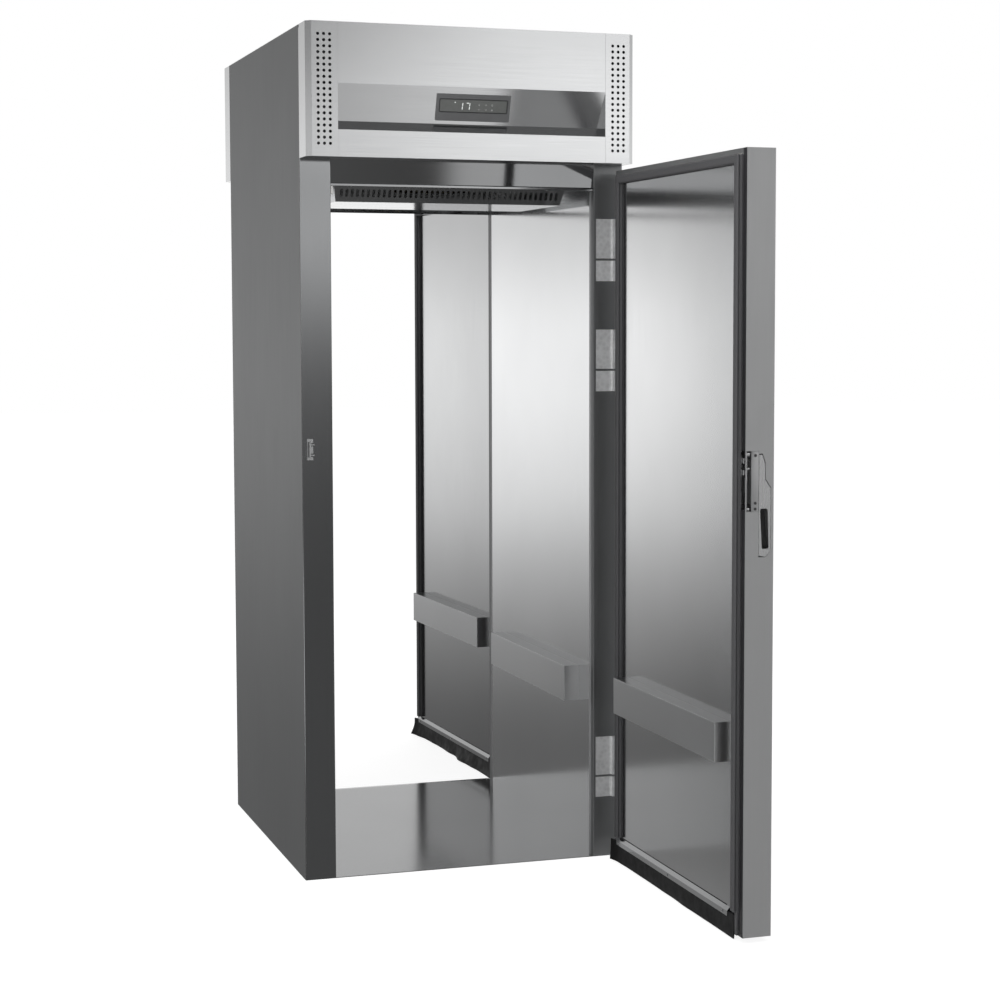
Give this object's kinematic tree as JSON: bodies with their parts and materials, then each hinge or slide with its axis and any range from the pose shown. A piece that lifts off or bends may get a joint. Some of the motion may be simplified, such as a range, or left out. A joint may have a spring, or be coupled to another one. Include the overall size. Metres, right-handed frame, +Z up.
{
  "type": "roll-through refrigerator",
  "caption": "Tall pass-through stainless cabinet with insulated doors at both ends, rubber sweeps, latching levers, and a hinged hood with a display over the front doorway.",
  "frame": {"origin": "on the floor at the centre of the cabinet's footprint, between the two doorways", "axes": "+Z up, the control side faces -Y, +X to the right seen from the front"},
  "size_m": [0.94, 2.8778, 2.28],
  "materials": {
    "stainless_sheet": "satin",
    "stainless_polished": "polished",
    "door_liner_sheet": "satin",
    "hinge_steel": "satin",
    "zinc_steel": "satin",
    "black_paint": "satin",
    "gasket_rubber": "matte",
    "sweep_rubber": "matte",
    "foam": "matte",
    "grey_plastic": "matte",
    "black_plastic": "satin",
    "controller_shell": "satin",
    "display_window": "gloss",
    "white_plastic": "satin",
    "aluminium_fins": "satin",
    "copper_pipe": "satin"
  },
  "bodies": {
    "cabinet": {"left_side_casing": "stainless_sheet", "right_side_casing": "stainless_sheet", "wall_liners": "stainless_sheet", "cabinet_foam": "foam", "ceiling_liner": "stainless_sheet", "door_lintels": "stainless_sheet", "thermal_break_strips": "grey_plastic", "floor_plate": "stainless_sheet", "rear_sill": "stainless_sheet", "wall_bumpers": "stainless_sheet", "roof_panel": "zinc_steel", "machine_deck": "zinc_steel", "rear_hood_panel": "stainless_sheet", "hood_pivots": "hinge_steel", "air_plenum": "stainless_polished", "door_sensor": "white_plastic", "hinge_plates": "hinge_steel", "hinge_pins": "hinge_steel", "latch_keepers": "hinge_steel", "cabinet_screws": "hinge_steel", "condenser_coil": "aluminium_fins", "condenser_cowl": "black_paint", "condenser_fan_motor": "black_paint", "evaporator_case": "white_plastic", "evaporator_coil": "aluminium_fins", "evaporator_fan_motor": "zinc_steel", "compressor": "black_paint", "compressor_mounts": "gasket_rubber", "refrigerant_pipes": "copper_pipe", "electrical_box": "zinc_steel", "condensate_tray": "zinc_steel", "cable_gland": "black_plastic"},
    "front_door": {"front_door_pan": "stainless_sheet", "front_door_liner": "door_liner_sheet", "front_door_foam": "foam", "front_door_gasket": "gasket_rubber", "front_door_bumper": "stainless_sheet", "front_door_sweep": "sweep_rubber", "front_sweep_rail": "stainless_sheet", "front_door_hinge_leaves": "hinge_steel", "front_latch_case": "black_plastic"},
    "front_handle": {"front_pull_lever": "hinge_steel"},
    "front_bolt": {"front_latch_bolt": "hinge_steel"},
    "rear_door": {"rear_door_pan": "stainless_sheet", "rear_door_liner": "door_liner_sheet", "rear_door_foam": "foam", "rear_door_gasket": "gasket_rubber", "rear_door_bumper": "stainless_sheet", "rear_door_sweep": "sweep_rubber", "rear_sweep_rail": "stainless_sheet", "rear_door_hinge_leaves": "hinge_steel", "rear_latch_case": "black_plastic"},
    "rear_handle": {"rear_pull_lever": "hinge_steel"},
    "rear_bolt": {"rear_latch_bolt": "hinge_steel"},
    "front_hood": {"front_hood_panel": "stainless_sheet", "hood_pivot_leaves": "hinge_steel", "controller_housing": "controller_shell", "controller_window": "display_window"},
    "evaporator_fan": {"evaporator_fan_rotor": "black_plastic"},
    "condenser_fan": {"condenser_fan_rotor": "black_plastic"}
  },
  "joints": [
    {"name": "front_door_hinge", "type": "hinge", "parent": "cabinet", "child": "front_door", "pos_m": [0.44725, -0.54425, 1], "axis": [0, 0, 1], "range_deg": [-90, 30]},
    {"name": "front_handle_pivot", "type": "hinge", "parent": "front_door", "child": "front_handle", "pos_m": [0.448, -1.4245, 1.168], "axis": [-1, 0, 0], "range_deg": [0, 15], "stiffness_Nm_per_rad": 1.5, "springref_deg": -5.73},
    {"name": "front_bolt_slide", "type": "slide", "parent": "front_door", "child": "front_bolt", "axis": [0, 0, -1], "range_m": [0, 0.0069]},
    {"name": "rear_door_hinge", "type": "hinge", "parent": "cabinet", "child": "rear_door", "pos_m": [0.44725, 0.54425, 1], "axis": [0, 0, -1], "range_deg": [-88, 32]},
    {"name": "rear_handle_pivot", "type": "hinge", "parent": "rear_door", "child": "rear_handle", "pos_m": [0.41728, 1.42399, 1.168], "axis": [0.9994, 0.0349, 0], "range_deg": [0, 15], "stiffness_Nm_per_rad": 1.5, "springref_deg": -5.73},
    {"name": "rear_bolt_slide", "type": "slide", "parent": "rear_door", "child": "rear_bolt", "axis": [0, 0, -1], "range_m": [0, 0.0069]},
    {"name": "front_hood_hinge", "type": "hinge", "parent": "cabinet", "child": "front_hood", "pos_m": [0, -0.5, 2.2645], "axis": [-1, 0, 0], "range_deg": [0, 60]},
    {"name": "evaporator_fan_spin", "type": "hinge", "parent": "cabinet", "child": "evaporator_fan", "pos_m": [0, -0.15, 1.896], "axis": [0, 0, 1], "continuous": true},
    {"name": "condenser_fan_spin", "type": "hinge", "parent": "cabinet", "child": "condenser_fan", "pos_m": [-0.24, -0.42, 2.085], "axis": [0, 1, 0], "continuous": true}
  ],
  "couplings": [
    {"joint": "front_bolt_slide", "follows": "front_handle_pivot", "m_per_rad": 0.0262},
    {"joint": "rear_bolt_slide", "follows": "rear_handle_pivot", "m_per_rad": 0.0262}
  ]
}
